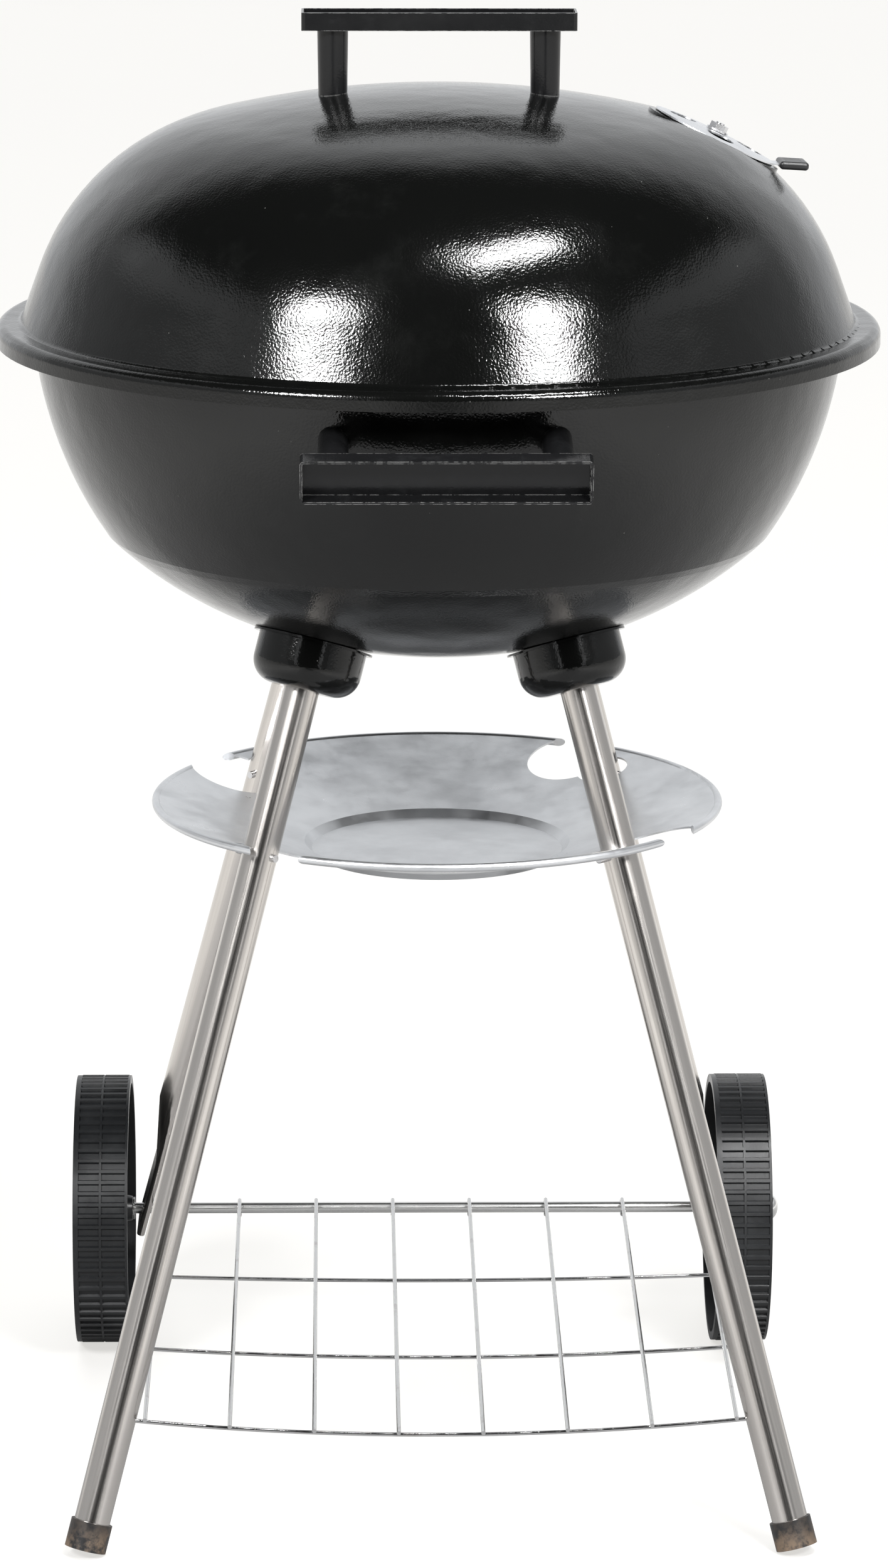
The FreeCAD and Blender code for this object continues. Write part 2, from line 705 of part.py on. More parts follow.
def make_damper(prefix, frame, blank, rim_level, lift, nut_level, inner_level):
    """A perforated disc with an ear, a plastic tab on the ear, and the bolt that it turns on."""
    rim = shift(frame, size("Sizes.damper_radius"), 0, rim_level, Rotation(Vector(0, 1, 0), -lift))
    ear = box(prefix + "_ear", "Sizes.ear_length", "Sizes.ear_width", "Sizes.damper_sheet")
    ear.Placement = shift(rim, -size("Sizes.ear_root"), -size("Sizes.ear_width / 2"), 0)
    holes = fuse(prefix + "_disc_holes", *vent_holes(prefix + "_disc_hole", frame, 0))
    disc = cut(prefix + "_disc_drilled", fuse(prefix + "_disc_blank", blank, ear), holes)
    sub_part(disc, prefix + "_damper_disc")

    block = box(prefix + "_tab_block", "Sizes.tab_length", "Sizes.tab_width", "Sizes.tab_height")
    middle = size("Sizes.damper_sheet / 2 - Sizes.tab_height / 2")
    block.Placement = shift(rim, size("Sizes.tab_start"), -size("Sizes.tab_width / 2"), middle)
    doc.recompute()
    soft = doc.addObject("Part::Fillet", prefix + "_tab_soft")
    soft.Base = block
    radius = size("Sizes.tab_round")
    soft.Edges = [(i, radius, radius) for i in range(1, len(block.Shape.Edges) + 1)]
    cuts = [ear]
    for groove in (-1, 0, 1):
        tool = box(f"{prefix}_groove_{groove + 1}", "Sizes.tab_length * 0.6", "Sizes.tab_groove",
                   "Sizes.tab_groove")
        level = middle + size("Sizes.tab_height - Sizes.tab_groove / 2")
        tool.Placement = shift(rim, size("Sizes.tab_start * 2"), groove * size("Sizes.tab_width / 4"), level)
        cuts.append(tool)
    sub_part(cut(prefix + "_tab", soft, fuse(prefix + "_tab_cuts", *cuts)), prefix + "_damper_tab")

    head_at = shift(frame, 0, 0, inner_level - size("Sizes.pivot_head_up"))
    head = cylinder(prefix + "_pivot_head", "Sizes.pivot_head", "Sizes.pivot_head_up", head_at)
    shank = cylinder(prefix + "_pivot_shank", "Sizes.pivot_radius",
                     f"Sizes.pivot_head_up + Sizes.pivot_tail + {nut_level - inner_level}", head_at)
    sub_part(fuse(prefix + "_pivot", head, shank), prefix + "_damper_bolt")
    washer_at = shift(frame, 0, 0, nut_level)
    washer = cylinder(prefix + "_pivot_washer", "Sizes.pivot_washer", "Sizes.damper_sheet", washer_at)
    nut_at = shift(frame, 0, 0, nut_level + size("Sizes.damper_sheet"))
    nut = add("Part::Prism", prefix + "_pivot_hex", nut_at, Circumradius="Sizes.pivot_nut",
              Height="Sizes.pivot_nut_up")
    nut.Polygon = 6
    thread = cylinder(prefix + "_pivot_thread", "Sizes.pivot_radius + 0.02", "Sizes.pivot_tail", washer_at)
    sub_part(cut(prefix + "_pivot_nut", fuse(prefix + "_pivot_stack", washer, nut), thread),
             prefix + "_damper_nut")


def make_dampers():
    depth = "Sizes.vent_seat_depth"
    column = cylinder("lid_disc_column", "Sizes.damper_radius", f"2 * {depth}",
                      shift(VENT, 0, 0, -size(depth)))
    crown = "Sizes.vent_seat_crown + Sizes.damper_gap"
    over = ball("lid_disc_over", f"{crown} + Sizes.damper_sheet", VENT)
    under = ball("lid_disc_under", crown, VENT)
    domed = cut("lid_disc_domed", common("lid_disc_cap", column, over), under)
    top = size("Sizes.damper_gap + Sizes.damper_sheet - Sizes.vent_seat_drop")
    radius, crown_radius = size("Sizes.damper_radius"), size(crown)
    fall = crown_radius - math.sqrt(crown_radius ** 2 - radius ** 2)
    rim_level = size("Sizes.damper_gap - Sizes.vent_seat_drop") - fall
    inner = -size("Sizes.vent_seat_drop + Sizes.wall + Sizes.pivot_head_gap")
    make_damper("lid", VENT, domed, rim_level, size("Sizes.lid_ear_lift"), top + 0.3, inner)

    flat = cylinder("bowl_disc_flat", "Sizes.damper_radius", "Sizes.damper_sheet",
                    shift(FLOOR_VENT, 0, 0, size("Sizes.damper_gap")))
    top = size("Sizes.damper_gap + Sizes.damper_sheet")
    make_damper("bowl", FLOOR_VENT, flat, size("Sizes.damper_gap"), size("Sizes.bowl_ear_lift"), top + 0.3,
                -size("Sizes.wall"))


# ---------------------------------------------------------------- legs

def make_socket(side, end):
    """A round-bottomed cup with a thin plate at its mouth, seated on the bowl."""
    label = f"leg_socket_{'front' if end == FRONT else 'rear'}_{side_name(side)}"
    up = leg_up(side, end)
    mouth = leg_point(side, end, size("Sizes.socket_up"))
    down = Placement(mouth, Rotation(UP, up).multiply(Rotation(ACROSS, 180)))
    cup = cylinder(label + "_cup", "Sizes.socket_radius", "Sizes.socket_height", down)
    soft = rounded_end(label + "_soft", cup, down, "Sizes.socket_height", "Sizes.socket_round")
    plate = cylinder(label + "_plate", "Sizes.socket_plate_radius", "Sizes.socket_plate", down)
    plug = cylinder(label + "_plug", "Sizes.socket_radius - 6", "4", along(mouth, up))
    solid = cut(label + "_seated", fuse(label + "_solid", soft, plate, plug), bowl_skin)
    bore_at = shift(down, 0, 0, size("Sizes.leg_start"))
    bore = cylinder(label + "_bore", "Sizes.leg_radius + Sizes.cap_fit", "Sizes.socket_height", bore_at)
    hole = cylinder(label + "_hole", "Sizes.screw_hole", "2 * Sizes.leg_start + 4", shift(down, 0, 0, -6))
    sub_part(cut(label + "_bored", solid, fuse(label + "_cuts", bore, hole)), label)


def leg_fasteners(side, end):
    """The bolt from inside the bowl and the threaded insert in the top of the leg."""
    name = f"leg_{end + 1}{side + 1}"
    up = leg_up(side, end)
    mouth = leg_point(side, end, size("Sizes.socket_up"))
    seat = along(mouth + up * size("Sizes.leg_bolt_seat"), up)
    head = cylinder(name + "_bolt_head", "Sizes.screw_head", "Sizes.screw_head_up", seat)
    dome = rounded_end(name + "_bolt_dome", head, seat, "Sizes.screw_head_up", "Sizes.screw_head_up * 0.7")
    reach = "Sizes.leg_bolt_seat + Sizes.leg_start + Sizes.insert_length"
    shank = cylinder(name + "_bolt_shank", "Sizes.screw_radius", reach, shift(seat, 0, 0, -size(reach)))
    top = along(mouth - up * size("Sizes.leg_start + Sizes.insert_length"), up)
    plug = cylinder(name + "_insert_plug", "Sizes.leg_radius - Sizes.leg_sheet - 0.05",
                    "Sizes.insert_length", top)
    thread = cylinder(name + "_insert_thread", "Sizes.screw_radius + 0.02", "Sizes.insert_length", top)
    return fuse(name + "_bolt", dome, shank), cut(name + "_insert", plug, thread)


def pin_frame(side, end):
    """A frame on a leg's axis under the ash tray, with +Z clockwise round the grill."""
    centre = leg_point(side, end, size("Sizes.pin_up"))
    return along(centre, Vector(centre.y, -centre.x, 0))


def tray_pin(name, side, end, radius):
    start = shift(pin_frame(side, end), 0, 0, -size("Sizes.pin_stub"))
    return cylinder(name, radius, "Sizes.pin_stub + Sizes.pin_reach", start)


def make_tray_pins():
    """A pin across each leg, on which the ash tray rests."""
    pins = []
    for end in (FRONT, REAR):
        for side in (LEFT, RIGHT):
            name = f"tray_pin_{end + 1}{side + 1}"
            blank = tray_pin(name, side, end, "Sizes.pin_radius")
            tip = shift(pin_frame(side, end), 0, 0, -size("Sizes.pin_stub"))
            pins.append(rounded_end(name + "_soft", blank, tip, "Sizes.pin_stub + Sizes.pin_reach",
                                    "Sizes.pin_radius / 2"))
    sub_part(group("pins", *pins), "tray_pins")


def make_front_leg(side):
    """A straight tube with a hole for the shelf's front wire, and its foot cap."""
    name = side_name(side)
    up = leg_up(side, FRONT)
    end = leg_point(side, FRONT, size("Sizes.cap_end_up"))
    full = "(Sizes.socket_up - Sizes.cap_end_up) * sqrt(1 + 2 * Sizes.leg_slope^2)"
    length = f"{full} - Sizes.cap_floor - Sizes.leg_start"
    foot = along(end + up * size("Sizes.cap_floor"), up)
    tube = cut(f"front_tube_{name}", cylinder(f"front_tube_out_{name}", "Sizes.leg_radius", length, foot),
               cylinder(f"front_tube_in_{name}", "Sizes.leg_radius - Sizes.leg_sheet", length, foot))
    middle = leg_point(side, FRONT, size("Sizes.shelf_up"))
    hole_at = Placement(Vector(middle.x, size("Sizes.shelf_front"), middle.z),
                        Rotation(Vector(0, 1, 0), -90 * side))
    hole = cylinder(f"front_wire_hole_{name}", "Sizes.wire_radius + 0.15", "2 * Sizes.leg_radius", hole_at)
    cross = tray_pin(f"front_pin_hole_{name}", side, FRONT, "Sizes.pin_radius + 0.02")
    tools = fuse(f"front_leg_cuts_{name}", hole, cross)
    sub_part(cut(f"front_leg_{name}_drilled", tube, tools), f"leg_front_{name}")

    cap_at = along(end, up)
    cap = cylinder(f"foot_cap_blank_{name}", "Sizes.cap_radius", "Sizes.cap_height", cap_at)
    bore = cylinder(f"foot_cap_bore_{name}", "Sizes.leg_radius + Sizes.cap_fit", "Sizes.cap_height", foot)
    below = box(f"foot_floor_{name}", "4 * Sizes.cap_radius", "4 * Sizes.cap_radius", "2 * Sizes.cap_radius")
    corner = Vector(end.x, end.y, 0) - Vector(1, 1, 1) * size("2 * Sizes.cap_radius")
    below.Placement = Placement(corner, Rotation())
    sub_part(cut(f"foot_cap_cut_{name}", cap, fuse(f"foot_cap_tools_{name}", bore, below)),
             f"foot_cap_{name}")


def make_rear_leg(side):
    """A tube pressed flat at its lower end, where the axle passes through it."""
    name = side_name(side)
    up = leg_up(side, REAR)
    axle = leg_point(side, REAR, size("Sizes.axle_up"))
    frame = along(axle, up)
    stadium = Outline(f"rear_flat_{name}")
    half, radius = size("Sizes.flat_width / 2 - Sizes.flat_thickness / 2"), size("Sizes.flat_thickness / 2")
    right = stadium.line((radius, -half), (radius, half))
    back = stadium.arc((0, half), radius, 0, 180)
    left = stadium.line((-radius, half), (-radius, -half))
    front = stadium.arc((0, -half), radius, 180, 360)
    for first, second in ((right, back), (back, left), (left, front), (front, right)):
        stadium.join(first, 2, second, 1, smooth=True)
    stadium.place(back, 3, "0", "Sizes.flat_width / 2 - Sizes.flat_thickness / 2")
    stadium.place(front, 3, "0", "Sizes.flat_thickness / 2 - Sizes.flat_width / 2")
    stadium.bind("Radius", (back, radius), "Sizes.flat_thickness / 2")
    stadium.sketch.Placement = shift(frame, 0, 0, size("Sizes.flat_above"))
    flat = add("Part::Extrusion", f"rear_flat_solid_{name}",
               LengthFwd="Sizes.flat_above + Sizes.flat_below")
    flat.Base = stadium.sketch
    flat.DirMode = "Custom"
    flat.Dir = -up
    flat.Solid = True
    round_at = shift(frame, 0, 0, size("Sizes.flat_above + Sizes.flat_taper"))
    ring = add("Part::Circle", f"rear_round_{name}", round_at, Radius="Sizes.leg_radius")
    taper = doc.addObject("Part::Loft", f"rear_taper_{name}")
    taper.Sections = [stadium.sketch, ring]
    taper.Solid = True
    run = "(Sizes.socket_up - Sizes.axle_up) * sqrt(1 + Sizes.rear_slope_side^2 + Sizes.rear_slope_back^2)"
    length = f"{run} - Sizes.flat_above - Sizes.flat_taper - Sizes.leg_start"
    tube = cylinder(f"rear_tube_{name}", "Sizes.leg_radius", length, round_at)
    hollow = cylinder(f"rear_hollow_{name}", "Sizes.leg_radius - Sizes.leg_sheet", length,
                      shift(round_at, 0, 0, 2))
    hole_at = Placement(axle - ACROSS * 20, Rotation(Vector(0, 1, 0), 90))
    hole = cylinder(f"rear_hole_{name}", "Sizes.axle_radius + 0.05", "40", hole_at)
    solid = fuse(f"rear_leg_solid_{name}", flat, taper, tube)
    cross = tray_pin(f"rear_pin_hole_{name}", side, REAR, "Sizes.pin_radius + 0.02")
    tools = fuse(f"rear_leg_cuts_{name}", hollow, hole, cross)
    sub_part(cut(f"rear_leg_{name}_drilled", solid, tools), f"leg_rear_{name}")


def make_legs():
    bolts, inserts = [], []
    for end in (FRONT, REAR):
        for side in (LEFT, RIGHT):
            make_socket(side, end)
            bolt, insert = leg_fasteners(side, end)
            bolts.append(bolt)
            inserts.append(insert)
    sub_part(group("bolts", *bolts), "leg_bolts")
    sub_part(group("inserts", *inserts), "leg_inserts")
    for side in (LEFT, RIGHT):
        make_front_leg(side)
        make_rear_leg(side)
    make_tray_pins()


# ---------------------------------------------------------------- wheels and axle

def axle_frame(x):
    """A frame on the axle at x, with +Z along +X."""
    return Placement(Vector(x, size(AXLE_BACK), size("Sizes.axle_up")), Rotation(Vector(0, 1, 0), 90))


def pattern(body, name, originals, sketch, axis, count):
    """Copies of features about an axis of a sketch."""
    result = body.newObject("PartDesign::PolarPattern", name)
    result.Originals = originals
    result.Axis = (sketch, [axis])
    result.Angle = 360
    result.Occurrences = count
    body.Tip = result
    doc.recompute()
    return result


def make_wheel(side):
    """A moulded wheel on the X axis: hub, web with spokes, and a barrel with two rows of ribs."""
    label = f"wheel_{side_name(side)}"
    body = doc.addObject("PartDesign::Body", label + "_body")
    hub = Outline(label + "_section", body, "XZ_Plane")
    near, far, width = "Sizes.web_near", "Sizes.web_far", "Sizes.wheel_width"
    barrel, inner, root = "Sizes.barrel_radius", "Sizes.barrel_inner", "Sizes.hub_root"
    hub.polygon([
        ("Sizes.hub_near", "Sizes.bore_radius"), ("Sizes.hub_far", "Sizes.bore_radius"),
        ("Sizes.hub_far", "Sizes.hub_radius"), (far, root), (far, inner), (width, inner),
        (width, barrel), ("0", barrel), ("0", inner), (near, inner), (near, root),
        ("Sizes.hub_near", root),
    ])
    body_spin(body, hub.sketch, "H_Axis")
    bands = (("0", "Sizes.band_width"), (f"{width} - Sizes.band_width / 2", width),
             (f"({width} - Sizes.centre_rib) / 2", f"({width} + Sizes.centre_rib) / 2"))
    for i, (start, end) in enumerate(bands):
        band = Outline(f"{label}_band_{i}", body, "XZ_Plane")
        under, top = f"{barrel} - 0.5", "Sizes.wheel_radius - 0.3"
        band.polygon([(start, under), (end, under), (end, top), (start, top)])
        body_spin(body, band.sketch, "H_Axis")
    doc.recompute()
    features = []
    for i, (start, end) in enumerate((("Sizes.band_width - 0.2", f"({width} - Sizes.centre_rib) / 2 + 0.2"),
                                      (f"({width} + Sizes.centre_rib) / 2 - 0.2",
                                       f"{width} - Sizes.band_width / 2 + 0.2"))):
        rib = Outline(f"{label}_rib_{i}", body, "YZ_Plane")
        rib.sketch.setExpression("AttachmentOffset.Base.z", start)
        foot, crest = "Sizes.rib_width / 2", "Sizes.rib_width / 4"
        rib.polygon([(f"-{foot}", f"{barrel} - 0.5"), (foot, f"{barrel} - 0.5"),
                     (crest, "Sizes.wheel_radius - 0.02"), (f"-{crest}", "Sizes.wheel_radius - 0.02")])
        pad = body.newObject("PartDesign::Pad", f"{label}_rib_pad_{i}")
        pad.Profile = rib.sketch
        pad.setExpression("Length", f"({end}) - ({start})")
        features.append(pad)
    doc.recompute()
    pattern(body, label + "_tread", features, hub.sketch, "H_Axis", int(size("Sizes.rib_count")))
    spoke = Outline(label + "_spoke", body, "YZ_Plane")
    spoke.sketch.setExpression("AttachmentOffset.Base.z", f"{near} - Sizes.spoke_reach")
    half = "Sizes.spoke_width / 2"
    spoke.polygon([(f"-{half}", "Sizes.hub_radius"), (half, "Sizes.hub_radius"),
                   (half, f"{inner} + 1"), (f"-{half}", f"{inner} + 1")])
    web = body.newObject("PartDesign::Pad", label + "_spoke_pad")
    web.Profile = spoke.sketch
    web.setExpression("Length", f"{far} - {near} + 2 * Sizes.spoke_reach")
    doc.recompute()
    pattern(body, label + "_spokes", [web], hub.sketch, "H_Axis", int(size("Sizes.spoke_count")))
    inner_end = "Sizes.hub_near" if side == RIGHT else "Sizes.hub_far"
    start = side * size("Sizes.hub_inside") - size(inner_end)
    body.Placement = Placement(Vector(start, size(AXLE_BACK), size("Sizes.axle_up")), Rotation())
    sub_part(body, label)
    return start


def make_axle():
    """The axle with a washer and a domed cap beside each wheel's hub."""
    rod = cylinder("axle_rod", "Sizes.axle_radius", "2 * Sizes.axle_half",
                   axle_frame(-size("Sizes.axle_half")))
    sub_part(rod, "axle")
    washers = []
    for side in (LEFT, RIGHT):
        start = make_wheel(side)
        hub_in, hub_out = size("Sizes.hub_near"), size("Sizes.hub_far")
        if side == LEFT:
            hub_in, hub_out = hub_out, hub_in
        name = side_name(side)
        gap = size("Sizes.wheel_gap")
        inner_face = start + hub_in - side * gap
        washer_x = inner_face if side == LEFT else inner_face - size("Sizes.washer_sheet")
        washer = cylinder(f"washer_disc_{name}", "Sizes.washer_radius", "Sizes.washer_sheet",
                          axle_frame(washer_x))
        washers.append(cut(f"washer_{name}", washer, cylinder(
            f"washer_hole_{name}", "Sizes.axle_radius + 0.01", "Sizes.washer_sheet", axle_frame(washer_x))))
        outer_face = start + hub_out + side * gap
        turn = Rotation(Vector(0, 1, 0), 90 * side)
        foot = Placement(Vector(outer_face, size(AXLE_BACK), size("Sizes.axle_up")), turn)
        neck = cylinder(f"cap_neck_{name}", "Sizes.axle_cap_neck", "Sizes.axle_cap_out", foot)
        dome = add("Part::Ellipsoid", f"cap_dome_{name}", shift(foot, 0, 0, size("Sizes.axle_cap_out")),
                   Radius1="Sizes.axle_cap_dome", Radius2="Sizes.axle_cap_radius")
        dome.Radius3 = 0
        lip = cylinder(f"cap_lip_{name}", "2 * Sizes.axle_cap_radius", "Sizes.axle_cap_dome",
                       shift(foot, 0, 0, size("Sizes.axle_cap_out * 0.4 - Sizes.axle_cap_dome")))
        bulb = cut(f"cap_bulb_{name}", dome, lip)
        sub_part(cut(f"cap_{name}", fuse(f"cap_solid_{name}", neck, bulb), rod), f"axle_cap_{name}")
    sub_part(group("washers", *washers), "axle_washers")


# ---------------------------------------------------------------- wire shelf

def wire(name, start, end, radius):
    """A straight round wire from one point to another."""
    run = end - start
    thing = add("Part::Cylinder", name, along(start, run), Radius=radius)
    thing.Height = run.Length
    return thing


def make_shelf():
    """Three cross wires that dip in the middle and eight long wires hooked over the axle."""
    front, up = size("Sizes.shelf_front"), size("Sizes.shelf_up")
    back, dip = size(AXLE_BACK), size("Sizes.shelf_dip")
    step = size("2 * Sizes.wire_radius - Sizes.shelf_weld")
    hook = size("Sizes.axle_radius + Sizes.wire_radius + Sizes.hook_gap")
    crest = size("Sizes.axle_up") + hook
    run = back - front
    pieces = []

    def dip_at(y):
        return dip * (back - y) / run

    def cross_level(y):
        return up + (crest - step - up) * (y - front) / run

    def sag_radius(depth):
        end = size("Sizes.shelf_end")
        return (end ** 2 + depth ** 2) / (2 * depth)

    crosses = ((front, "Sizes.shelf_end"), (size("Sizes.shelf_middle"), "Sizes.shelf_side"),
               (size("Sizes.shelf_back"), "Sizes.shelf_side"))
    for i, (y, half) in enumerate(crosses):
        radius = sag_radius(dip_at(y))
        swing = math.degrees(math.asin(size(half) / radius))
        centre = Vector(0, y, cross_level(y) - dip_at(y) + radius)
        bow = add("Part::Torus", f"shelf_cross_{i}", Radius2="Sizes.wire_radius")
        bow.Radius1 = radius
        bow.Angle3 = 2 * swing
        bow.Placement = Placement(centre, Rotation(ACROSS, 90).multiply(Rotation(UP, 270 - swing)))
        pieces.append(bow)

    pitch = size("Sizes.shelf_pitch")
    for i in range(8):
        x = (i - 3.5) * pitch
        radius = sag_radius(dip)
        low = up - dip + radius - math.sqrt(radius ** 2 - x ** 2) + step
        start = Vector(x, front, low)
        top = Vector(x, back, crest)
        lead = (start - top).normalize() * size("Sizes.shelf_overhang")
        pieces.append(wire(f"shelf_long_{i}", start + lead, top, "Sizes.wire_radius"))
        curl = add("Part::Torus", f"shelf_hook_{i}", Radius2="Sizes.wire_radius",
                   Radius1="Sizes.axle_radius + Sizes.wire_radius + Sizes.hook_gap",
                   Angle3="Sizes.hook_turn")
        about = Rotation(Vector(0, 1, 0), 90).multiply(Rotation(UP, 180 - size("Sizes.hook_turn")))
        curl.Placement = Placement(Vector(x, back, size("Sizes.axle_up")), about)
        pieces.append(curl)
    sub_part(fuse("shelf", *pieces), "wire_shelf")


# ---------------------------------------------------------------- ash tray

def make_tray():
    """A dished sheet with a beaded rim and four notches that hook round the legs."""
    body = doc.addObject("PartDesign::Body", "tray_body")
    section = Outline("tray_section", body, "XZ_Plane")
    rim = "Sizes.tray_radius - Sizes.tray_bead"
    rim_up, ring_up = "Sizes.tray_up - Sizes.tray_sheet", "Sizes.tray_up - Sizes.tray_drop"
    well_up = f"{ring_up} - Sizes.tray_step"
    ring, well, thick = "Sizes.tray_ring", "Sizes.tray_ring - Sizes.tray_step_run", "Sizes.tray_sheet"
    section.polygon([
        ("0", well_up), (well, well_up), (ring, ring_up), (rim, f"{rim_up} + {thick} / 2"),
        (rim, f"{rim_up} - {thick} / 2"), (f"{ring} + {thick} / 2", f"{ring_up} - {thick}"),
        (f"{well} + {thick} / 2", f"{well_up} - {thick}"), ("0", f"{well_up} - {thick}"),
    ])
    body_spin(body, section.sketch, "V_Axis")
    bead = Outline("tray_bead_section", body, "XZ_Plane")
    bead.circle(rim, "Sizes.tray_up - Sizes.tray_bead", "Sizes.tray_bead")
    body_spin(body, bead.sketch, "V_Axis")
    pockets = []
    for name in ("seat", "gate"):
        notch = Outline(f"tray_{name}", body, "XY_Plane")
        turn = f"(Sizes.tray_{name}_turn - 45) * 1 deg"
        notch.circle(f"Sizes.tray_{name}_out * cos({turn})", f"Sizes.tray_{name}_out * sin({turn})",
                     f"Sizes.tray_{name}_radius")
        pocket = body.newObject("PartDesign::Pocket", f"tray_{name}_pocket")
        pocket.Profile = notch.sketch
        pocket.Type = "ThroughAll"
        pocket.Reversed = True
        doc.recompute()
        pockets.append(pocket)
    pattern(body, "tray_notches", pockets, section.sketch, "V_Axis", QUARTERS)
    sub_part(body, "ash_tray")


# ---------------------------------------------------------------- grates

def grate(prefix, radius, level, wire_radius, pitch):
    """A ring of wire with parallel bars welded on top of it."""
    ring = add("Part::Torus", prefix + "_ring", Radius1=radius, Radius2="Sizes.ring_wire")
    ring.setExpression("Placement.Base.z", level)
    lift = size(f"{level} + Sizes.ring_wire + {wire_radius} - Sizes.weld")
    reach, step = size(radius), size(pitch)
    pieces = [ring]
    count = int((reach - step / 2) // step)
    for i in range(-count, count + 1):
        y = i * step
        half = math.sqrt(reach ** 2 - y ** 2)
        pieces.append(wire(f"{prefix}_bar_{i + count}", Vector(-half, y, lift), Vector(half, y, lift),
                           wire_radius))
    low = size(level)
    for side in (LEFT, RIGHT):
        x = side * reach / 2
        half = math.sqrt(reach ** 2 - x ** 2)
        pieces.append(wire(f"{prefix}_cross_{side_name(side)}", Vector(x, -half, low), Vector(x, half, low),
                           "Sizes.ring_wire"))
    return pieces, lift


def make_grates():
    pieces, lift = grate("cook", "Sizes.cook_radius", "Sizes.cook_up", "Sizes.cook_wire", "Sizes.cook_pitch")
    out, half, rise = size("Sizes.grip_out"), size("Sizes.grip_half"), size("Sizes.grip_up")
    for side in (LEFT, RIGHT):
        name = side_name(side)
        near, far = Vector(side * out, -half, lift), Vector(side * out, half, lift)
        pieces.append(wire(f"grip_near_{name}", near, near + UP * rise, "Sizes.ring_wire"))
        pieces.append(wire(f"grip_far_{name}", far, far + UP * rise, "Sizes.ring_wire"))
        pieces.append(wire(f"grip_bar_{name}", near + UP * rise, far + UP * rise, "Sizes.ring_wire"))
        pieces.append(wire(f"grip_foot_{name}", near, far, "Sizes.ring_wire"))
    sub_part(fuse("cook_grate", *pieces), "cooking_grate")
    pieces, lift = grate("coal", "Sizes.coal_radius", "Sizes.coal_up", "Sizes.coal_wire", "Sizes.coal_pitch")
    sub_part(fuse("coal_grate", *pieces), "charcoal_grate")

    brackets = []
    top = size("Sizes.cook_up - Sizes.ring_wire - Sizes.bracket_gap")
    for quarter in range(QUARTERS):
        turn = Placement(Vector(), Rotation(UP, 45 + 90 * quarter))
        name = f"bracket_{quarter}"
        middle = -size("Sizes.bracket_width / 2")
        shelf = box(name + "_shelf", "20", "Sizes.bracket_width", "Sizes.bracket_sheet",
                    shift(turn, size("Sizes.bracket_in"), middle, top - size("Sizes.bracket_sheet")))
        back = box(name + "_back", "14", "Sizes.bracket_width", "Sizes.bracket_drop",
                   shift(turn, size("Sizes.bracket_in + 7"), middle, top - size("Sizes.bracket_drop")))
        brackets.append(common(name, fuse(name + "_strip", shelf, back), bowl_inside))
    sub_part(group("brackets", *brackets), "grate_brackets")


# ---------------------------------------------------------------- build, check and write

make_lid_shell()
make_bowl_shell()
make_handles()
make_dampers()
make_legs()
make_axle()
make_shelf()
make_tray()
make_grates()
doc.recompute()

for thing in doc.Objects:
    if "Invalid" in thing.State or "Error" in thing.State:
        raise RuntimeError(f"{thing.Label} failed: {thing.State}")
os.makedirs("parts", exist_ok=True)
for thing in sub_parts:
    shape = thing.Shape
    if shape.isNull() or not shape.isValid() or not shape.Solids:
        raise RuntimeError(f"{thing.Label} has no valid solid")
    shape.exportStep(f"parts/{thing.Label}.step")
    print(f"{thing.Label}: {len(shape.Solids)} solids, {shape.Volume / 1000:.2f} cm3")
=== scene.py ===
"""Looks, floor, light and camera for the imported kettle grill. Metres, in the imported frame."""
import json
import math

import bpy
from mathutils import Matrix, Vector

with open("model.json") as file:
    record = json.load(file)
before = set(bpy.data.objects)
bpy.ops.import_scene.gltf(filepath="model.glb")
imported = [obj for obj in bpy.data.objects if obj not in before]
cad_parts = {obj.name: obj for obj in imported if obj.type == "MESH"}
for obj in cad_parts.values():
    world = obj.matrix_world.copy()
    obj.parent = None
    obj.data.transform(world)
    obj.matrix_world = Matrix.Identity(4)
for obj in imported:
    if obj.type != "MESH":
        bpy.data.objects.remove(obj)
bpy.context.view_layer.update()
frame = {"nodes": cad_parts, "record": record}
NODES = frame["nodes"]

# how far each leg leans out sideways and to the front or back, as an angle from upright
LEG_LEAN_X = math.atan(0.2516)
LEG_LEAN_Y = math.atan(0.26)


# ---------------------------------------------------------------- materials

class Nodes:
    """A node tree, and short ways to add to it."""

    def __init__(self, tree, coords):
        self.tree = tree
        self.coords = self.add("ShaderNodeTexCoord").outputs[coords]

    def add(self, kind, **settings):
        """A new node of one kind, with its settings."""
        node = self.tree.nodes.new(kind)
        for key, value in settings.items():
            setattr(node, key, value)
        return node

    def feed(self, socket, value):
        """Give a socket a number, a colour or the output of another node."""
        if isinstance(value, bpy.types.NodeSocket):
            self.tree.links.new(value, socket)
        else:
            socket.default_value = value

    def math(self, operation, first, second=0.0, third=0.0):
        """The result of one sum on numbers or outputs."""
        node = self.add("ShaderNodeMath", operation=operation)
        for socket, value in zip(node.inputs, (first, second, third)):
            self.feed(socket, value)
        return node.outputs[0]

    def span(self, source, low, high, first=0.0, last=1.0):
        """A value that goes from first to last as its source goes from low to high."""
        node = self.add("ShaderNodeMapRange", interpolation_type="SMOOTHSTEP")
        for key, value in zip(("Value", "From Min", "From Max", "To Min", "To Max"),
                              (source, low, high, first, last)):
            self.feed(node.inputs[key], value)
        return node.outputs[0]

    def axes(self):
        """The coordinates' x, y and z."""
        node = self.add("ShaderNodeSeparateXYZ")
        self.feed(node.inputs[0], self.coords)
        return tuple(node.outputs)


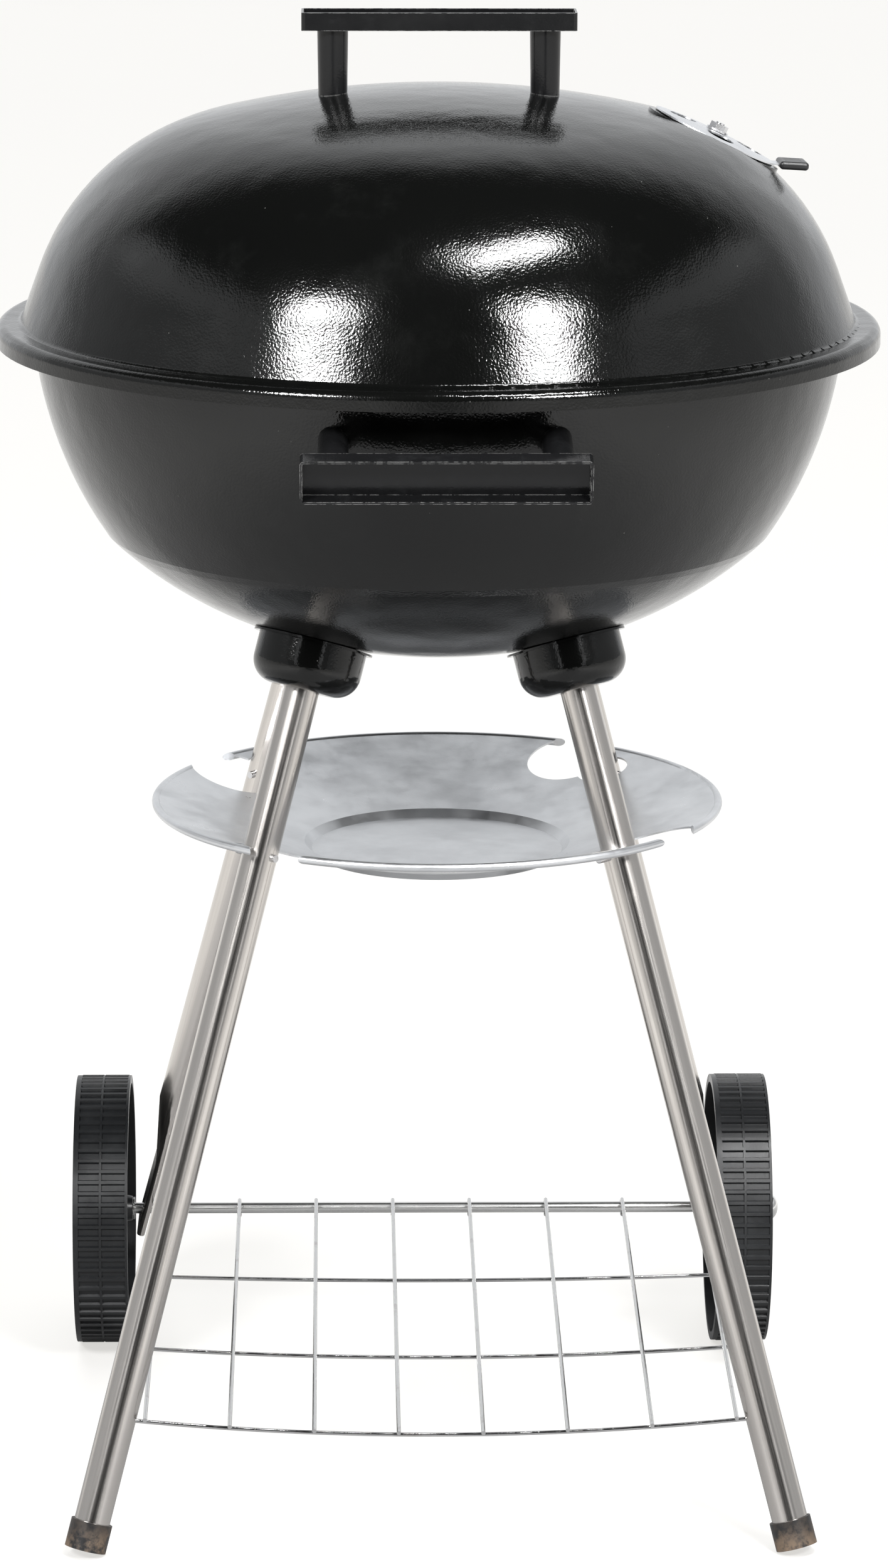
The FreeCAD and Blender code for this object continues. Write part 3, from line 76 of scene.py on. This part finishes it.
class Finish(Nodes):
    """A procedural material: a Principled shader and the nodes that feed it."""

    def __init__(self, name, color, roughness, metallic=0.0, **fixed):
        self.material = bpy.data.materials.new(name)
        self.material.use_nodes = True
        super().__init__(self.material.node_tree, "Object")
        self.shader = self.tree.nodes["Principled BSDF"]
        self.color = self.constant(color)
        self.roughness = roughness
        self.metallic = metallic
        self.normal = None
        for socket, value in fixed.items():
            self.shader.inputs[socket.replace("_", " ")].default_value = value

    def constant(self, color):
        """One colour, to be tinted later."""
        node = self.add("ShaderNodeRGB")
        node.outputs[0].default_value = (*color, 1)
        return node.outputs[0]

    def stretched(self, scale, turn=(0, 0, 0)):
        """Object coordinates turned, then scaled along each axis."""
        first = self.add("ShaderNodeMapping", vector_type="POINT")
        self.feed(first.inputs["Vector"], self.coords)
        first.inputs["Rotation"].default_value = turn
        second = self.add("ShaderNodeMapping", vector_type="POINT")
        self.feed(second.inputs["Vector"], first.outputs[0])
        second.inputs["Scale"].default_value = scale
        return second.outputs[0]

    def noise(self, scale, detail=3.0, rough=0.5, coords=None):
        """Cloudy noise from 0 to 1."""
        node = self.add("ShaderNodeTexNoise")
        self.feed(node.inputs["Vector"], self.coords if coords is None else coords)
        node.inputs["Scale"].default_value = scale
        node.inputs["Detail"].default_value = detail
        node.inputs["Roughness"].default_value = rough
        return node.outputs["Fac"]

    def cells(self, scale, output="Distance"):
        """Cells with one point each: the distance to the point, or the cell's colour."""
        node = self.add("ShaderNodeTexVoronoi")
        self.feed(node.inputs["Vector"], self.coords)
        node.inputs["Scale"].default_value = scale
        return node.outputs[output]

    def tint(self, share, color):
        """Cover a share of the surface with another colour."""
        node = self.add("ShaderNodeMix", data_type="RGBA")
        self.feed(node.inputs[0], share)
        self.feed(node.inputs[6], self.color)
        self.feed(node.inputs[7], (*color, 1))
        self.color = node.outputs[2]

    def bump(self, source, height):
        """Raise the surface by a height in metres where the source is 1, on top of earlier bumps."""
        node = self.add("ShaderNodeBump")
        self.feed(node.inputs["Height"], source)
        node.inputs["Distance"].default_value = height
        node.inputs["Strength"].default_value = 1.0
        if self.normal is not None:
            self.feed(node.inputs["Normal"], self.normal)
        self.normal = node.outputs[0]

    def edges(self, width):
        """One on sharp edges that stand out, zero elsewhere."""
        bevel = self.add("ShaderNodeBevel", samples=6)
        bevel.inputs["Radius"].default_value = width
        flat = self.add("ShaderNodeNewGeometry")
        dot = self.add("ShaderNodeVectorMath", operation="DOT_PRODUCT")
        self.feed(dot.inputs[0], bevel.outputs[0])
        self.feed(dot.inputs[1], flat.outputs["Normal"])
        return self.span(self.math("SUBTRACT", 1.0, dot.outputs["Value"]), 0.02, 0.14)

    def done(self):
        """Join everything to the shader."""
        for socket, value in (("Base Color", self.color), ("Roughness", self.roughness),
                              ("Metallic", self.metallic), ("Normal", self.normal)):
            if value is not None:
                self.feed(self.shader.inputs[socket], value)
        return self.material


def enamel(name, peel):
    """Glossy black porcelain enamel with orange peel, dust and faint smudges."""
    look = Finish(name, (0.0016, 0.0017, 0.0016), 0.1, IOR=1.42)
    smudge = look.span(look.noise(9.0, 4.0, 0.6), 0.42, 0.72)
    fine = look.noise(2300.0, 2.0)
    look.roughness = look.math("ADD", look.math("MULTIPLY_ADD", smudge, 0.045, 0.075),
                               look.math("MULTIPLY", fine, 0.03))
    speck = look.span(look.cells(150.0), 0.035, 0.05, 1.0, 0.0)
    rare = look.span(look.noise(55.0, 1.0), 0.60, 0.64)
    dust = look.math("MULTIPLY", speck, rare)
    look.tint(look.math("MULTIPLY", dust, 0.6), (0.16, 0.16, 0.15))
    film = look.span(look.noise(26.0, 5.0, 0.65), 0.5, 0.8)
    look.tint(look.math("MULTIPLY", film, 0.02), (0.11, 0.115, 0.11))
    look.roughness = look.math("MULTIPLY_ADD", dust, 0.4, look.roughness)
    look.bump(look.noise(820.0, 1.5, 0.45), peel)
    look.bump(look.noise(28.0, 2.0, 0.5), 0.0007)
    look.bump(dust, 0.00012)
    return look.done()


def handle_black():
    """Semi-gloss black on folded sheet and posts, worn bright along the sharp edges."""
    look = Finish("handle_black", (0.0042, 0.0043, 0.0046), 0.2, IOR=1.42)
    look.roughness = look.span(look.noise(40.0, 5.0, 0.6), 0.35, 0.7, 0.14, 0.27)
    smear = look.span(look.noise(70.0, 5.0, 0.7), 0.52, 0.75)
    look.tint(look.math("MULTIPLY", smear, 0.06), (0.06, 0.062, 0.065))
    rub = look.math("MULTIPLY", look.edges(0.0007), look.span(look.noise(260.0, 4.0, 0.7), 0.42, 0.62))
    look.tint(look.math("MULTIPLY", rub, 0.85), (0.42, 0.42, 0.41))
    look.metallic = look.math("MULTIPLY", rub, 0.8)
    look.bump(look.noise(900.0, 2.0), 0.00004)
    return look.done()


def streaked(name, color, low, high, axis_scale, dirt, turn=(0, 0, 0)):
    """Drawn or brushed metal with long fine lines, scratches and a little dirt."""
    look = Finish(name, color, low, 1.0)
    lines = look.noise(1.0, 4.0, 0.65, look.stretched(axis_scale, turn))
    wide = look.noise(1.0, 3.0, 0.5, look.stretched([s * 0.22 for s in axis_scale], turn))
    look.roughness = look.math("ADD", look.span(lines, 0.3, 0.75, low, high),
                               look.math("MULTIPLY", wide, 0.06))
    look.tint(look.span(lines, 0.45, 0.8, 0.0, 0.22), [c * 0.62 for c in color])
    look.tint(look.span(wide, 0.55, 0.8, 0.0, 0.25), [min(1, c * 1.18) for c in color])
    grime = look.span(look.noise(75.0, 5.0, 0.6), 0.56, 0.82)
    look.tint(look.math("MULTIPLY", grime, dirt), (0.17, 0.155, 0.135))
    look.roughness = look.math("MULTIPLY_ADD", grime, 0.5 * dirt, look.roughness)
    look.bump(lines, 0.000035)
    return look.done()


def leg_steel(side, end):
    """Bright drawn tube: the lines run along the leg. Side and end are -1 for left and front, 1 otherwise."""
    turn = (-end * LEG_LEAN_Y, side * LEG_LEAN_X, 0)
    return streaked(f"leg_steel_{side + 1}{end + 1}", (0.61, 0.58, 0.55), 0.12, 0.24,
                    (900, 900, 9), 0.08, turn)


def galvanised():
    """Satin zinc sheet: soft spangle, wiping marks, small nicks and darker handling spots."""
    look = Finish("tray_zinc", (0.60, 0.61, 0.625), 0.3, 0.94)
    spangle = look.cells(95.0, output="Color")
    value = look.add("ShaderNodeRGBToBW")
    look.feed(value.inputs[0], spangle)
    look.tint(look.span(value.outputs[0], 0.2, 0.9, 0.0, 0.12), (0.76, 0.77, 0.79))
    cloud = look.noise(14.0, 5.0, 0.6)
    look.tint(look.span(cloud, 0.45, 0.75, 0.0, 0.3), (0.40, 0.41, 0.43))
    marks = look.span(look.noise(120.0, 5.0, 0.75), 0.66, 0.74)
    look.tint(look.math("MULTIPLY", marks, 0.35), (0.30, 0.30, 0.31))
    look.roughness = look.math("ADD", look.span(look.noise(46.0, 5.0, 0.65), 0.3, 0.75, 0.26, 0.44),
                               look.math("MULTIPLY", value.outputs[0], 0.05))
    look.bump(look.noise(22.0, 2.0), 0.0012)
    look.bump(look.noise(700.0, 3.0), 0.00003)
    return look.done()


def plated(name, color, low, high, grime_share):
    """Bright plated wire or cap: mirror with pits, dull weld burns and fine scratches."""
    look = Finish(name, color, low, 1.0)
    look.roughness = look.span(look.noise(180.0, 4.0, 0.6), 0.35, 0.7, low, high)
    burn = look.span(look.noise(60.0, 4.0, 0.6), 0.56, 0.72)
    look.tint(look.math("MULTIPLY", burn, grime_share), (0.30, 0.27, 0.24))
    pits = look.span(look.cells(1400.0), 0.08, 0.14, 1.0, 0.0)
    look.tint(look.math("MULTIPLY", pits, 0.25), (0.25, 0.24, 0.22))
    look.bump(look.noise(1500.0, 2.0), 0.00002)
    return look.done()


def moulded(name, color, rough, dust_color, dust_share, floor_dust=None):
    """Moulded plastic with a fine grain and dust that gathers on it, more so near the floor."""
    look = Finish(name, color, rough, IOR=1.42)
    cloud = look.noise(30.0, 6.0, 0.65)
    grain = look.noise(1300.0, 3.0, 0.6)
    look.roughness = look.math("ADD", look.span(cloud, 0.35, 0.7, rough - 0.06, rough + 0.1),
                               look.math("MULTIPLY", grain, 0.05))
    look.tint(look.span(cloud, 0.4, 0.8, 0.0, dust_share), dust_color)
    if floor_dust is not None:
        near = look.span(look.axes()[2], 0.004, 0.019, 1.0, 0.15)
        caked = look.math("MULTIPLY", near, look.span(look.noise(120.0, 6.0, 0.7), 0.38, 0.62))
        look.tint(look.math("MULTIPLY", caked, 0.75), floor_dust)
        look.roughness = look.math("MULTIPLY_ADD", caked, 0.35, look.roughness)
    fleck = look.math("MULTIPLY", look.span(look.cells(420.0), 0.05, 0.09, 1.0, 0.0),
                      look.span(look.noise(90.0, 2.0), 0.52, 0.6))
    look.tint(look.math("MULTIPLY", fleck, 0.5), dust_color)
    look.bump(grain, 0.00005)
    return look.done()


def disc_sheet():
    """Bare satin sheet with faint turning marks about the vent and a scuffed film."""
    look = Finish("damper_sheet", (0.66, 0.67, 0.69), 0.3, 1.0)
    look.roughness = look.span(look.noise(130.0, 5.0, 0.65), 0.3, 0.72, 0.22, 0.4)
    look.tint(look.span(look.noise(60.0, 4.0, 0.6), 0.45, 0.75, 0.0, 0.3), (0.44, 0.45, 0.47))
    look.bump(look.noise(1.0, 3.0, 0.6, look.stretched((2500, 300, 2500))), 0.00003)
    look.bump(look.noise(45.0, 2.0), 0.0005)
    return look.done()


MATERIALS = {
    "enamel": enamel("enamel", 0.00011),
    "socket_enamel": enamel("socket_enamel", 0.00006),
    "handle_black": handle_black(),
    "zinc_fasteners": plated("zinc_fasteners", (0.62, 0.62, 0.63), 0.16, 0.34, 0.3),
    "damper_sheet": disc_sheet(),
    "tab_plastic": moulded("tab_plastic", (0.012, 0.012, 0.0125), 0.34, (0.10, 0.10, 0.10), 0.10),
    "foot_plastic": moulded("foot_plastic", (0.010, 0.010, 0.0105), 0.36, (0.08, 0.075, 0.07), 0.12,
                            (0.15, 0.105, 0.07)),
    "wheel_plastic": moulded("wheel_plastic", (0.0070, 0.0075, 0.0082), 0.34, (0.06, 0.065, 0.07), 0.10),
    "tray_zinc": galvanised(),
    "shelf_chrome": plated("shelf_chrome", (0.56, 0.56, 0.56), 0.08, 0.2, 0.4),
    "axle_zinc": streaked("axle_zinc", (0.68, 0.68, 0.67), 0.16, 0.32, (9, 900, 900), 0.2),
    "cap_chrome": plated("cap_chrome", (0.80, 0.80, 0.79), 0.05, 0.16, 0.15),
    "grate_chrome": plated("grate_chrome", (0.68, 0.68, 0.67), 0.12, 0.28, 0.3),
}


def finish_nodes():
    """Give every node the material of its slot. The lines on each leg follow that leg."""
    for row in frame["record"]["subparts"]:
        node = NODES[row["node"]]
        slot = row["material_slot"]
        if slot == "leg_steel":
            side = -1 if row["node"].endswith("left") else 1
            end = -1 if "front" in row["node"] else 1
            finish = leg_steel(side, end)
        else:
            finish = MATERIALS[slot]
        node.data.materials.clear()
        node.data.materials.append(finish)


# ---------------------------------------------------------------- smooth shading of the spun shells

# arcs as (out, up, radius) and straight stretches as (out, up, normal out, normal up), in millimetres
SHOULDER = (93.4, 611.63, 125.92)
LEAN = math.radians(19.94)
LID_ARCS = ((230, 621.3, 5), (224.13, 629.3, 4.2), (0, 223.84, 524.8), SHOULDER)
LID_LINES = ((235, 618, 1, 0), (226, 626.3, 0, 1),
             (SHOULDER[0] + SHOULDER[2] * math.cos(LEAN), SHOULDER[1] + SHOULDER[2] * math.sin(LEAN),
              math.cos(LEAN), math.sin(LEAN)))
BOWL_ARCS = ((228, 622.7, 2), (222.91, 614.1, 9.2), (-5.09, 638.94, 221.35), (19.4, 681.6, 230.6))
BOWL_LINES = ((220, 622.1, 0, 1), (177.97, 514.5, 0.71, -0.704))
WALL = 1.2
# the most that a corner may miss a run by, and how near its face's direction comes to the run's, as a cosine
MOST_MISS = 0.06
ARC_MATCH = 0.8
LINE_MATCH = 0.95
# a face whose corner normals agree less than this is left alone
SMOOTH_FACE = 0.93


def skin_miss(depth):
    """How far a point at some depth in the sheet is from its nearer skin."""
    return min(abs(depth), abs(depth - WALL))


def arc_way(arc, out, up):
    """The direction straight out of an arc at a point."""
    return Vector((out - arc[0], up - arc[1])).normalized()


def line_way(line, out, up):
    """The direction straight out of a straight stretch, the same at each point."""
    return Vector(line[2:])


def closest_run(corners, flat, arcs, lines):
    """The arc or straight stretch that all corners of a face lie on, and how to get its direction."""
    best, found = MOST_MISS, None
    for arc in arcs:
        miss = max(skin_miss(arc[2] - math.hypot(out - arc[0], up - arc[1])) for out, up in corners)
        if miss < best and abs(arc_way(arc, *corners[0]) @ flat) > ARC_MATCH:
            best, found = miss, (arc_way, arc)
    for line in lines:
        miss = max(skin_miss((line[0] - out) * line[2] + (line[1] - up) * line[3]) for out, up in corners)
        if miss < best and abs(line_way(line, 0, 0) @ flat) > LINE_MATCH:
            best, found = miss, (line_way, line)
    return found


def spun_normals(name, arcs, lines):
    """Show a spun shell with the exact normals of its arcs, so that its facets don't show.

    The CAD mesh stays as it is. A modifier takes the normals from a copy that isn't in the scene.
    """
    node = NODES[name]
    guide = bpy.data.objects.new(f"{name}_normals", node.data.copy())
    mesh = guide.data
    points = [vertex.co.copy() for vertex in mesh.vertices]
    normals = [corner.vector.copy() for corner in mesh.corner_normals]
    for face in mesh.polygons:
        across = face.center.xy.normalized()
        mean = sum((normals[corner] for corner in face.loop_indices), Vector()) / face.loop_total
        flat = Vector((mean.xy @ across, mean.z))
        if flat.length < SMOOTH_FACE:
            continue
        flat.normalize()
        spots = [points[index] for index in face.vertices]
        found = closest_run([(spot.xy.length * 1000, spot.z * 1000) for spot in spots], flat, arcs, lines)
        if found is None:
            continue
        for corner in face.loop_indices:
            spot = points[mesh.loops[corner].vertex_index]
            way = found[0](found[1], spot.xy.length * 1000, spot.z * 1000)
            if way @ flat < 0:
                way = -way
            around = spot.xy.normalized()
            normals[corner] = Vector((around.x * way.x, around.y * way.x, way.y))
    mesh.normals_split_custom_set(normals)
    transfer = node.modifiers.new("arc_normals", "DATA_TRANSFER")
    transfer.object = guide
    transfer.use_loop_data = True
    transfer.data_types_loops = {"CUSTOM_NORMAL"}
    transfer.loop_mapping = "TOPOLOGY"


# ---------------------------------------------------------------- floor, light and camera

def make_floor():
    """A plain pale floor that glows. Its glow is held back near the front where glossy surfaces mirror it:
    painted shade in the reflections.
    """
    reach = 30.0
    mesh = bpy.data.meshes.new("floor")
    corners = [(-reach, -reach, 0), (reach, -reach, 0), (reach, reach, 0), (-reach, reach, 0)]
    mesh.from_pydata(corners, [], [(0, 1, 2, 3)])
    floor = bpy.data.objects.new("floor", mesh)
    bpy.context.scene.collection.objects.link(floor)
    pale = Finish("pale_floor", (0.2, 0.2, 0.2), 0.6)
    pale.tint(pale.span(pale.noise(0.6, 3.0), 0.3, 0.7, 0.0, 0.5), (0.19, 0.19, 0.193))
    paths = pale.add("ShaderNodeLightPath")
    across, back = pale.axes()[:2]
    aside = pale.math("MAXIMUM", pale.span(pale.math("ABSOLUTE", across), 0.3, 1.1),
                      pale.span(back, 0.1, 0.7))
    # painted shade: glossy surfaces see the floor darker near the front and under the grill than it is
    dark = pale.math("MULTIPLY", paths.outputs["Is Glossy Ray"], pale.math("SUBTRACT", 1.0, aside))
    strength = 0.66
    glow = pale.math("MULTIPLY_ADD", dark, -strength, strength)
    pale.feed(pale.shader.inputs["Emission Color"], (1.0, 0.985, 0.95, 1))
    pale.feed(pale.shader.inputs["Emission Strength"], glow)
    floor.data.materials.append(pale.done())


def lamp(name, place, aim, across, up, power, shape="RECTANGLE"):
    """An area light of some size and power that faces its aim."""
    data = bpy.data.lights.new(name, "AREA")
    data.shape = shape
    data.size = across
    data.size_y = up
    data.energy = power
    thing = bpy.data.objects.new(name, data)
    thing.location = place
    thing.rotation_mode = "QUATERNION"
    thing.rotation_quaternion = (Vector(place) - Vector(aim)).to_track_quat("Z", "Y")
    bpy.context.scene.collection.objects.link(thing)


def make_world():
    """A white room that is dark in front, and plain pale where it is seen directly."""
    world = bpy.data.worlds.new("studio")
    bpy.context.scene.world = world
    world.use_nodes = True
    world.node_tree.nodes.clear()
    room = Nodes(world.node_tree, "Generated")
    x, y, z = room.axes()
    wide = room.math("ABSOLUTE", x)
    back_wall = room.span(y, 0.40, 0.74)
    reach = room.math("MULTIPLY_ADD", z, -0.28, wide)
    side_wall = room.math("MULTIPLY", room.span(reach, 0.52, 0.66), room.span(z, 0.66, 0.52))
    side_wall = room.math("MULTIPLY", side_wall, room.span(z, 0.36, 0.44, 0.5, 0.85))
    level = room.math("MULTIPLY", room.span(z, 0.02, 0.08), room.span(z, 0.45, 0.38))
    tubes = room.math("MULTIPLY", room.span(wide, 0.36, 0.39), room.span(wide, 0.48, 0.45))
    tubes = room.math("MULTIPLY", room.math("MULTIPLY", tubes, level), 1.3)
    dim = room.math("MULTIPLY", room.math("MULTIPLY", room.span(wide, 0.46, 0.52), level), 0.32)
    light = 0.025
    for part in (dim, tubes, side_wall, back_wall):
        light = room.math("MAXIMUM", part, light)
    paths = room.add("ShaderNodeLightPath")
    seen = room.add("ShaderNodeMix", data_type="FLOAT")
    room.feed(seen.inputs[0], paths.outputs["Is Camera Ray"])
    room.feed(seen.inputs[2], light)
    room.feed(seen.inputs[3], 0.95)
    back = room.add("ShaderNodeBackground")
    back.inputs["Color"].default_value = (0.97, 0.985, 1.0, 1)
    room.feed(back.inputs["Strength"], seen.outputs[0])
    out = room.add("ShaderNodeOutputWorld")
    room.feed(out.inputs[0], back.outputs[0])


def make_lights():
    """A strip above, two round softboxes in front, and a broad overhead panel that reflections don't show."""
    brow = Vector((0, -0.2, 0.66))  # the front of the lid, which the softboxes face
    far = 3.0
    sun = bpy.data.lights.new("sky_panel", "SUN")
    sun.energy = 2.2
    sun.angle = math.radians(70)
    panel = bpy.data.objects.new("sky_panel", sun)
    panel.rotation_euler = (math.radians(-14), math.radians(4), 0)
    panel.visible_glossy = False
    bpy.context.scene.collection.objects.link(panel)
    lamp("strip", brow + Vector((0.72, -0.86, 2.46)), brow, 1.15, 0.42, 80)
    lamp("round_left", brow + far * Vector((-0.543, -0.643, 0.54)), brow, 0.86, 0.86, 130, "DISK")
    lamp("round_right", brow + far * Vector((0.448, -0.713, 0.539)), brow, 0.86, 0.86, 130, "DISK")


def make_camera():
    """A long lens in front of the grill, a little to its left, that looks down at it."""
    data = bpy.data.cameras.new("view")
    data.lens = 135.4
    data.sensor_width = 36.0
    data.shift_x = 0.0044
    view = bpy.data.objects.new("view", data)
    turn, down, roll = math.radians(-1.0), math.radians(13.5), math.radians(0.15)
    away, height = 3.1108, 1.118
    place = Matrix.Translation((away * math.sin(turn), -away * math.cos(turn), height))
    swing = (Matrix.Rotation(turn, 4, "Z") @ Matrix.Rotation(math.pi / 2 - down, 4, "X")
             @ Matrix.Rotation(roll, 4, "Z"))
    view.matrix_world = place @ swing
    bpy.context.scene.collection.objects.link(view)
    bpy.context.scene.camera = view


finish_nodes()
spun_normals("lid_shell", LID_ARCS, LID_LINES)
spun_normals("bowl_shell", BOWL_ARCS, BOWL_LINES)
make_floor()
make_world()
make_lights()
make_camera()
bpy.context.scene.view_settings.view_transform = "Standard"
